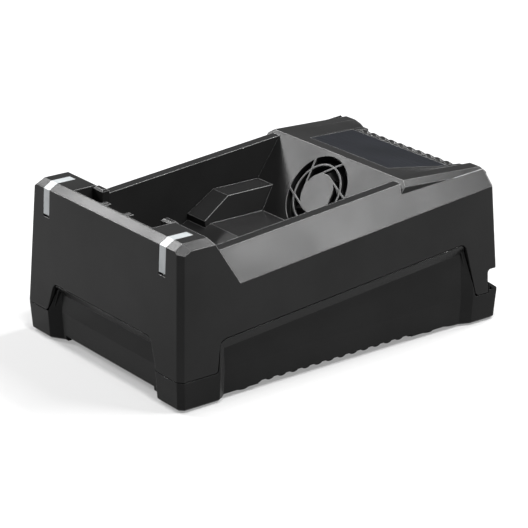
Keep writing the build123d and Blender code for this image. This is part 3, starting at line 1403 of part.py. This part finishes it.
with BuildPart() as fan_lead:
    start = FAN_FACE.from_local_coords((FAN_SIZE / 2, -FAN_SIZE / 2 + 6, -FAN_DEEP + 3))
    start_y = start.Y + LENGTH / 2
    start_z = start.Z - FOOT_STAND
    add(lead([
        (FAN_SIZE / 2, start_y, start_z),
        (FAN_TERMINAL[0], start_y, start_z),
        (FAN_TERMINAL[0], FAN_TERMINAL[1], start_z - 8),
        (FAN_TERMINAL[0], FAN_TERMINAL[1], TERMINAL_TOP),
    ], SIGNAL_R, LEAD_BEND))
finish(fan_lead, "fan_lead")

with BuildPart() as lamp_leads:
    for way in SIDES.values():
        lead_y = LED_BOARD_Y + LED_BOARD + SIGNAL_R
        add(lead([
            (way * PIPE_X, lead_y, LED_Z + 2),
            (way * PIPE_X, lead_y, LAMP_LEAD_Z),
            (LAMP_TERMINAL[0] + way * 2, lead_y, LAMP_LEAD_Z),
            (LAMP_TERMINAL[0] + way * 2, LAMP_TERMINAL[1], LAMP_LEAD_Z),
            (LAMP_TERMINAL[0] + way * 2, LAMP_TERMINAL[1], TERMINAL_TOP),
        ], SIGNAL_R, LEAD_BEND))
finish(lamp_leads, "lamp_leads")
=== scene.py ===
import json
from math import cos, pi, radians, sin

import bpy
from mathutils import Matrix, Vector

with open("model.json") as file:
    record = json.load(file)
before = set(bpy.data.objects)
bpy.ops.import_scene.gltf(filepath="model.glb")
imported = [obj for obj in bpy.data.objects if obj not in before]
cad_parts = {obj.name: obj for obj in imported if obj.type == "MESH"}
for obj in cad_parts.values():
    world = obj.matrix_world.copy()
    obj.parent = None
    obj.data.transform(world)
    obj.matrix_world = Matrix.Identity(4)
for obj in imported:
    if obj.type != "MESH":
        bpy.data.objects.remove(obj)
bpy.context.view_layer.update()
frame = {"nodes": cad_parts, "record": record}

# ------------------------------------------------ camera: metres, degrees, millimetres of film
CAMERA_PLACE = (1.029541, -0.783949, 0.534166)
CAMERA_YAW = 52.741         # from +Y towards -X
CAMERA_PITCH = 20.962       # below the horizon
CAMERA_ROLL = 0.113
CAMERA_LENS = 156.07
CAMERA_SENSOR = 36.0
CAMERA_CLIP_START = 0.05

# ------------------------------------------------ floor and light: metres, degrees
WHITE = (1, 1, 1, 1)
FLOOR_SIZE = 9.0
FLOOR_COLOUR = (0.42, 0.42, 0.42, 1)
FLOOR_ROUGHNESS = 0.9
FLOOR_SPECULAR = 0.1
FLOOR_LIFT = 0.30           # glow that only rays which see the floor as background get
AMBIENT_COLOUR = (0.97, 0.98, 1.0, 1)
AMBIENT = 0.10

# name: azimuth and elevation as seen from the object, roll, width, height, radiance of its face
LAMPS = {
    "left_softbox": (-171.7, 41.0, 0, 0.32, 0.23, 38.0),
    "front_left_softbox": (-147.5, 28.5, 0, 0.25, 0.25, 37.0),
    "front_left_upper_softbox": (-150.0, 39.0, 0, 0.24, 0.16, 44.0),
    "rear_right_softbox": (42.0, 50.0, -35, 0.46, 0.18, 60.0),
    "top_softbox": (-22.0, 75.5, 0, 0.17, 0.17, 132.0),
    "rear_softbox": (91.5, 53.0, 0, 0.29, 0.32, 58.0),
    "right_fill": (-14.0, 17.0, 0, 0.60, 0.60, 2.4),
}
LAMP_DISTANCE = 1.45
LAMP_AIM = (0.0, 0.0, 0.06)

# ------------------------------------------------ masks of the materials
MASK_SAMPLES = 6
NOISE_SPAN = (0.3, 0.7)         # where most of a noise's values lie
EDGE_SPAN = (0.84, 0.998)       # cosine between rounded and flat normal: on an edge, off it
CREVICE_SPAN = (0.45, 0.85)     # share of free space around: deep in a joint, in the open
UPWARD_SPAN = (0.20, 0.50)      # upward part of the normal: no painted edge highlight, full painted edge highlight


def place_camera():
    data = bpy.data.cameras.new("camera")
    data.lens = CAMERA_LENS
    data.sensor_width = CAMERA_SENSOR
    data.clip_start = CAMERA_CLIP_START
    camera = bpy.data.objects.new("camera", data)
    turn = Matrix.Rotation(radians(CAMERA_YAW), 4, "Z")
    tilt = Matrix.Rotation(radians(90 - CAMERA_PITCH), 4, "X")
    roll = Matrix.Rotation(radians(CAMERA_ROLL), 4, "Z")
    camera.matrix_world = Matrix.Translation(CAMERA_PLACE) @ turn @ tilt @ roll
    bpy.context.scene.collection.objects.link(camera)
    bpy.context.scene.camera = camera


def place_lamps():
    """Softboxes on a sphere round the object, facing it, each rolled about its own axis."""
    for name, (azimuth, elevation, roll, width, height, radiance) in LAMPS.items():
        turn, rise = radians(azimuth), radians(elevation)
        way = Vector((cos(rise) * cos(turn), cos(rise) * sin(turn), sin(rise)))
        data = bpy.data.lights.new(name, "AREA")
        data.shape = "RECTANGLE"
        data.size = width
        data.size_y = height
        data.energy = radiance * pi * width * height
        lamp = bpy.data.objects.new(name, data)
        lamp.location = Vector(LAMP_AIM) + way * LAMP_DISTANCE
        facing = (-way).to_track_quat("-Z", "Y").to_matrix().to_4x4()
        lamp.rotation_euler = (facing @ Matrix.Rotation(radians(roll), 4, "Z")).to_euler()
        bpy.context.scene.collection.objects.link(lamp)


def place_world():
    """Plain soft light from all round."""
    world = bpy.data.worlds.new("studio")
    world.use_nodes = True
    ambient = world.node_tree.nodes["Background"]
    ambient.inputs["Color"].default_value = AMBIENT_COLOUR
    ambient.inputs["Strength"].default_value = AMBIENT
    bpy.context.scene.world = world


def whiten(tree, socket):
    """Lift the floor towards white for the camera and for what mirrors or lets through its view."""
    path = tree.nodes.new("ShaderNodeLightPath")
    seen = path.outputs["Is Camera Ray"]
    for other in ("Is Glossy Ray", "Is Transmission Ray"):
        both = tree.nodes.new("ShaderNodeMath")
        both.operation = "MAXIMUM"
        tree.links.new(seen, both.inputs[0])
        tree.links.new(path.outputs[other], both.inputs[1])
        seen = both.outputs[0]
    lift = tree.nodes.new("ShaderNodeMath")
    lift.operation = "MULTIPLY"
    lift.inputs[1].default_value = FLOOR_LIFT
    tree.links.new(seen, lift.inputs[0])
    tree.links.new(lift.outputs[0], socket)


def place_floor():
    half = FLOOR_SIZE / 2
    mesh = bpy.data.meshes.new("floor")
    corners = [(-half, -half, 0), (half, -half, 0), (half, half, 0), (-half, half, 0)]
    mesh.from_pydata(corners, [], [(0, 1, 2, 3)])
    floor = bpy.data.objects.new("floor", mesh)
    bpy.context.scene.collection.objects.link(floor)
    material = bpy.data.materials.new("floor_paper")
    material.use_nodes = True
    shader = material.node_tree.nodes["Principled BSDF"]
    shader.inputs["Base Color"].default_value = FLOOR_COLOUR
    shader.inputs["Roughness"].default_value = FLOOR_ROUGHNESS
    shader.inputs["Specular IOR Level"].default_value = FLOOR_SPECULAR
    shader.inputs["Emission Color"].default_value = WHITE
    whiten(material.node_tree, shader.inputs["Emission Strength"])
    mesh.materials.append(material)


# ------------------------------------------------ node helpers
class Nodes:
    """One material's node tree, with short calls for the nodes used here."""

    def __init__(self, name):
        self.material = bpy.data.materials.new(name)
        self.material.use_nodes = True
        self.tree = self.material.node_tree
        self.shader = self.tree.nodes["Principled BSDF"]
        coordinates = self.tree.nodes.new("ShaderNodeTexCoord")
        self.place = coordinates.outputs["Object"]

    def link(self, source, target):
        self.tree.links.new(source, target)

    def put(self, name, value):
        """Set a value that is the same all over the surface."""
        self.shader.inputs[name].default_value = value

    def noise(self, scale, detail=3, stretch=None):
        """Noise whose grain is 1/scale metres, stretched along the axes if asked."""
        node = self.tree.nodes.new("ShaderNodeTexNoise")
        node.inputs["Scale"].default_value = scale
        node.inputs["Detail"].default_value = detail
        source = self.place
        if stretch:
            mapping = self.tree.nodes.new("ShaderNodeMapping")
            mapping.inputs["Scale"].default_value = stretch
            self.link(self.place, mapping.inputs["Vector"])
            source = mapping.outputs["Vector"]
        self.link(source, node.inputs["Vector"])
        return node.outputs["Fac"]

    def ramp(self, source, low, high, ends=NOISE_SPAN):
        """Colour that goes from low to high between the two ends."""
        node = self.tree.nodes.new("ShaderNodeValToRGB")
        for element, position, colour in zip(node.color_ramp.elements, ends, (low, high)):
            element.position = position
            element.color = colour
        self.link(source, node.inputs["Fac"])
        return node.outputs["Color"]

    def span(self, source, low, high, ends=NOISE_SPAN):
        """Value that goes from low to high between the two ends, and stays there beyond them."""
        node = self.tree.nodes.new("ShaderNodeMapRange")
        node.inputs["From Min"].default_value, node.inputs["From Max"].default_value = ends
        node.inputs["To Min"].default_value = low
        node.inputs["To Max"].default_value = high
        self.link(source, node.inputs["Value"])
        return node.outputs["Result"]

    def math(self, operation, first, second):
        """Two sockets or numbers, combined."""
        node = self.tree.nodes.new("ShaderNodeMath")
        node.operation = operation
        for socket, value in zip(node.inputs, (first, second)):
            if isinstance(value, (int, float)):
                socket.default_value = value
            else:
                self.link(value, socket)
        return node.outputs[0]

    def times(self, first, second):
        return self.math("MULTIPLY", first, second)

    def minus(self, first, second):
        return self.math("SUBTRACT", first, second)

    def mix(self, factor, first, second):
        """Colour mix; the factor is a socket, the colours sockets or values."""
        node = self.tree.nodes.new("ShaderNodeMix")
        node.data_type = "RGBA"
        self.link(factor, node.inputs["Factor"])
        for name, value in (("A", first), ("B", second)):
            socket = [s for s in node.inputs if s.name == name and s.type == "RGBA"][0]
            if isinstance(value, tuple):
                socket.default_value = value
            else:
                self.link(value, socket)
        return [s for s in node.outputs if s.type == "RGBA"][0]

    def rounded(self, radius):
        """Normal of the surface with its edges rounded."""
        bevel = self.tree.nodes.new("ShaderNodeBevel")
        bevel.samples = MASK_SAMPLES
        bevel.inputs["Radius"].default_value = radius
        return bevel.outputs["Normal"]

    def edge(self, rounded):
        """Mask that is 1 where the rounded normal turns away from the flat one."""
        geometry = self.tree.nodes.new("ShaderNodeNewGeometry")
        dot = self.tree.nodes.new("ShaderNodeVectorMath")
        dot.operation = "DOT_PRODUCT"
        self.link(rounded, dot.inputs[0])
        self.link(geometry.outputs["Normal"], dot.inputs[1])
        return self.span(dot.outputs["Value"], low=1, high=0, ends=EDGE_SPAN)

    def painted_crevice_shade(self, reach):
        """Mask that is 1 deep inside narrow joints and corners, where painted shade goes."""
        occlusion = self.tree.nodes.new("ShaderNodeAmbientOcclusion")
        occlusion.samples = MASK_SAMPLES
        occlusion.inputs["Distance"].default_value = reach
        return self.span(occlusion.outputs["AO"], low=1, high=0, ends=CREVICE_SPAN)

    def upward(self, normal):
        """Mask that is 1 where the normal points upward."""
        split = self.tree.nodes.new("ShaderNodeSeparateXYZ")
        self.link(normal, split.inputs[0])
        return self.span(split.outputs["Z"], low=0, high=1, ends=UPWARD_SPAN)

    def bump(self, height, strength, distance, normal=None):
        """Normal with the height pressed into it; distance is the depth in metres."""
        node = self.tree.nodes.new("ShaderNodeBump")
        node.inputs["Strength"].default_value = strength
        node.inputs["Distance"].default_value = distance
        self.link(height, node.inputs["Height"])
        if normal:
            self.link(normal, node.inputs["Normal"])
        return node.outputs["Normal"]

    def finish(self, colour, roughness, normal):
        self.link(colour, self.shader.inputs["Base Color"])
        self.link(roughness, self.shader.inputs["Roughness"])
        self.link(normal, self.shader.inputs["Normal"])
        return self.material


def grey(value, warm=0.0):
    """Grey, its red raised and its blue lowered by the share warm."""
    return (value * (1 + warm), value, value * (1 - warm), 1)


# ------------------------------------------------ kinds of material; lengths in metres
def moulded_plastic(name, dark, light, grain, rough, edge_radius, specular, highlight_strength):
    """Dark plastic from an eroded mould: fine grain, faint clouds, a patchy painted highlight on
    its upper edges, painted shade deep in joints and corners.
    """
    m = Nodes(name)
    rounded = m.rounded(edge_radius)
    edge = m.edge(rounded)
    clouds = m.noise(scale=22, detail=4)
    patchy_highlight = m.span(m.noise(scale=60), low=0.6 * highlight_strength, high=highlight_strength)
    painted_highlight = m.times(m.times(edge, m.upward(rounded)), patchy_highlight)
    colour = m.ramp(clouds, dark, light, ends=(0.35, 0.65))
    # painted highlight: upward-facing edges are mixed towards light grey, in patches
    colour = m.mix(painted_highlight, colour, grey(0.45))
    # painted shade: colour goes to near black deep in narrow joints and corners
    colour = m.mix(m.painted_crevice_shade(reach=0.0016), colour, grey(0.002))
    cloudy = m.span(clouds, low=rough - 0.05, high=rough + 0.05)
    specks = m.bump(m.noise(grain, detail=2), strength=0.30, distance=0.00012, normal=rounded)
    m.put("Specular IOR Level", specular)
    return m.finish(colour, m.minus(cloudy, m.times(edge, 0.12)), specks)


def frosted_guide(name):
    """Clear frosted plastic of a light pipe, milky inside."""
    m = Nodes(name)
    rounded = m.rounded(0.0004)
    clouds = m.noise(scale=90, detail=2)
    colour = m.ramp(clouds, (0.33, 0.35, 0.36, 1), (0.41, 0.43, 0.44, 1))
    # painted highlight: edges are mixed towards pale grey
    colour = m.mix(m.times(m.edge(rounded), 0.6), colour, (0.66, 0.68, 0.68, 1))
    frost = m.bump(m.noise(scale=1800, detail=2), strength=0.15, distance=0.0001, normal=rounded)
    m.put("Subsurface Weight", 0.15)
    m.put("Subsurface Radius", (0.002, 0.002, 0.002))
    m.put("Coat Weight", 0.2)
    m.put("Coat Roughness", 0.25)
    return m.finish(colour, m.span(clouds, low=0.28, high=0.40), frost)


def satin_sheet(name, dark, light):
    """Sheet with fine satin lines along its width, bare of any marking."""
    m = Nodes(name)
    rounded = m.rounded(0.0003)
    lines = m.noise(scale=900, detail=2, stretch=(0.06, 1.0, 1.0))
    colour = m.ramp(m.noise(scale=30), dark, light)
    # painted highlight: edges are mixed towards lighter grey
    colour = m.mix(m.times(m.edge(rounded), 0.5), colour, grey(0.09))
    brushed = m.bump(lines, strength=0.12, distance=0.00008, normal=rounded)
    m.put("Specular IOR Level", 0.12)
    return m.finish(colour, m.span(lines, low=0.42, high=0.56), brushed)


def soft_rubber(name, tone):
    """Matt rubber or wire sleeve with a little dust on it."""
    m = Nodes(name)
    rounded = m.rounded(0.0004)
    dust = m.noise(scale=150, detail=4)
    colour = m.ramp(dust, grey(tone), grey(tone * 1.7, warm=0.03), ends=(0.35, 0.7))
    pores = m.bump(m.noise(scale=1400), strength=0.25, distance=0.00015, normal=rounded)
    m.put("Specular IOR Level", 0.25)
    return m.finish(colour, m.span(dust, low=0.70, high=0.88), pores)


def worked_metal(name, low, high, rough, scale=700, stretch=(1, 1, 0.08)):
    """Metal with fine drawn or ground lines, smoother on its edges."""
    m = Nodes(name)
    rounded = m.rounded(0.00025)
    lines = m.noise(scale, stretch=stretch)
    colour = m.ramp(m.noise(scale=120), low, high, ends=(0.35, 0.65))
    drawn = m.span(lines, low=rough, high=rough + 0.16)
    grooves = m.bump(lines, strength=0.20, distance=0.00005, normal=rounded)
    m.put("Metallic", 1.0)
    return m.finish(colour, m.minus(drawn, m.times(m.edge(rounded), 0.08)), grooves)


def moulded_case(name, low, high, rough, grain=1500, depth=0.00008):
    """Case of a small bought-in part: moulded resin, sleeve or lacquer."""
    m = Nodes(name)
    rounded = m.rounded(0.0003)
    clouds = m.noise(scale=160)
    # painted highlight: edges are mixed towards a colour 1.6 times lighter than the high tone
    painted_edge_colour = tuple(min(1, channel * 1.6) for channel in high[:3]) + (1,)
    colour = m.mix(m.times(m.edge(rounded), 0.35), m.ramp(clouds, low, high), painted_edge_colour)
    specks = m.bump(m.noise(grain, detail=2), strength=0.2, distance=depth, normal=rounded)
    return m.finish(colour, m.span(clouds, low=rough - 0.06, high=rough + 0.08), specks)


def circuit_board(name):
    """Green solder resist over straight copper tracks."""
    m = Nodes(name)
    rounded = m.rounded(0.0002)
    layout = {"Scale": 1.0, "Brick Width": 0.017, "Row Height": 0.0031, "Mortar Size": 0.0005}
    bricks = m.tree.nodes.new("ShaderNodeTexBrick")
    for socket, value in layout.items():
        bricks.inputs[socket].default_value = value
    m.link(m.place, bricks.inputs["Vector"])
    track = m.span(bricks.outputs["Fac"], low=0, high=1, ends=(0.2, 0.8))
    colour = m.mix(track, (0.010, 0.075, 0.028, 1), (0.020, 0.120, 0.045, 1))
    raised = m.bump(track, strength=0.4, distance=0.00004, normal=rounded)
    return m.finish(colour, m.span(m.noise(scale=200), low=0.30, high=0.42), raised)


def wound_wire(name):
    """Enamelled copper in close turns."""
    m = Nodes(name)
    wave = m.tree.nodes.new("ShaderNodeTexWave")
    wave.bands_direction = "Z"
    wave.inputs["Scale"].default_value = 340
    wave.inputs["Distortion"].default_value = 0.4
    m.link(m.place, wave.inputs["Vector"])
    turns = wave.outputs["Fac"]
    colour = m.ramp(turns, (0.22, 0.06, 0.02, 1), (0.62, 0.25, 0.10, 1), ends=(0.1, 0.8))
    m.put("Metallic", 0.9)
    roughness = m.span(m.noise(scale=300), low=0.25, high=0.38)
    return m.finish(colour, roughness, m.bump(turns, strength=0.6, distance=0.0004))


def clear_glass(name):
    """Clear glass with faint smears."""
    m = Nodes(name)
    smears = m.noise(scale=400)
    colour = m.ramp(smears, (0.85, 0.90, 0.90, 1), (0.95, 0.97, 0.97, 1))
    m.put("Transmission Weight", 0.9)
    m.put("IOR", 1.5)
    roughness = m.span(smears, low=0.03, high=0.10)
    return m.finish(colour, roughness, m.bump(smears, strength=0.05, distance=0.00003))


def lamp_lens(name):
    """Milky yellowish resin of a small lamp."""
    m = Nodes(name)
    clouds = m.noise(scale=700, detail=2)
    colour = m.ramp(clouds, (0.70, 0.70, 0.58, 1), (0.82, 0.82, 0.70, 1))
    m.put("Subsurface Weight", 0.3)
    m.put("Subsurface Radius", (0.001, 0.001, 0.001))
    roughness = m.span(clouds, low=0.25, high=0.40)
    return m.finish(colour, roughness, m.bump(clouds, strength=0.1, distance=0.00005))


# material slot of the record: the kind of material, and its values
RECIPES = {
    # for moulded_plastic the last value sets the strength of the painted highlight on upper edges
    "upper_plastic": (moulded_plastic, dict(
        dark=grey(0.0165), light=grey(0.0205), grain=2300, rough=0.20,
        edge_radius=0.0006, specular=0.07, highlight_strength=1.3)),
    "lower_plastic": (moulded_plastic, dict(
        dark=grey(0.0105), light=grey(0.0135), grain=1900, rough=0.22,
        edge_radius=0.0004, specular=0.07, highlight_strength=0.25)),
    "light_pipe": (frosted_guide, {}),
    "label_plate": (satin_sheet, dict(
        dark=(0.009, 0.010, 0.012, 1), light=(0.012, 0.013, 0.016, 1))),
    "rubber": (soft_rubber, dict(tone=0.014)),
    "steel_screw": (worked_metal, dict(
        low=grey(0.42, warm=0.03), high=grey(0.60, warm=0.02), rough=0.28)),
    "fan_plastic": (moulded_plastic, dict(
        dark=grey(0.010), light=grey(0.014), grain=2000, rough=0.42,
        edge_radius=0.0004, specular=0.35, highlight_strength=0.3)),
    "contact_plastic": (moulded_case, dict(low=grey(0.018), high=grey(0.026), rough=0.40)),
    "contact_metal": (worked_metal, dict(
        low=(0.60, 0.54, 0.38, 1), high=(0.78, 0.72, 0.55, 1), rough=0.20)),
    "circuit_board": (circuit_board, {}),
    "steel": (worked_metal, dict(low=grey(0.50), high=grey(0.66), rough=0.18)),
    "ferrite": (moulded_case, dict(
        low=grey(0.045), high=grey(0.065), rough=0.62, grain=900, depth=0.0002)),
    "magnet": (moulded_case, dict(
        low=grey(0.05, warm=0.1), high=grey(0.07, warm=0.1), rough=0.60,
        grain=900, depth=0.0001)),
    "copper_wire": (wound_wire, {}),
    "bobbin": (moulded_case, dict(low=grey(0.030), high=grey(0.045), rough=0.42)),
    "capacitor": (moulded_case, dict(
        low=(0.012, 0.020, 0.055, 1), high=(0.020, 0.032, 0.085, 1), rough=0.30)),
    "heat_sink": (worked_metal, dict(
        low=grey(0.66), high=grey(0.78), rough=0.30, scale=500, stretch=(0.05, 0.05, 1))),
    "power_case": (moulded_case, dict(low=grey(0.020), high=grey(0.030), rough=0.55)),
    "film_capacitor": (moulded_case, dict(
        low=(0.46, 0.34, 0.04, 1), high=(0.60, 0.46, 0.07, 1), rough=0.38)),
    "relay_case": (moulded_case, dict(
        low=(0.015, 0.060, 0.22, 1), high=(0.022, 0.085, 0.30, 1), rough=0.30)),
    "terminal": (moulded_case, dict(
        low=(0.66, 0.65, 0.60, 1), high=(0.76, 0.75, 0.70, 1), rough=0.42)),
    "varistor": (moulded_case, dict(
        low=(0.015, 0.070, 0.26, 1), high=(0.022, 0.095, 0.34, 1), rough=0.35)),
    "glass_fuse": (clear_glass, {}),
    "lamp": (lamp_lens, {}),
    "power_wire": (soft_rubber, dict(tone=0.05)),
    "signal_wire": (soft_rubber, dict(tone=0.018)),
}


def dress_nodes():
    """Give every CAD node the material of its slot in the record."""
    materials = {slot: make(slot, **values) for slot, (make, values) in RECIPES.items()}
    slots = {part["node"]: part["material_slot"] for part in frame["record"]["subparts"]}
    for node, piece in frame["nodes"].items():
        piece.data.materials.clear()
        piece.data.materials.append(materials[slots[node]])


place_camera()
place_lamps()
place_world()
place_floor()
dress_nodes()

bpy.context.scene.view_settings.view_transform = "Standard"
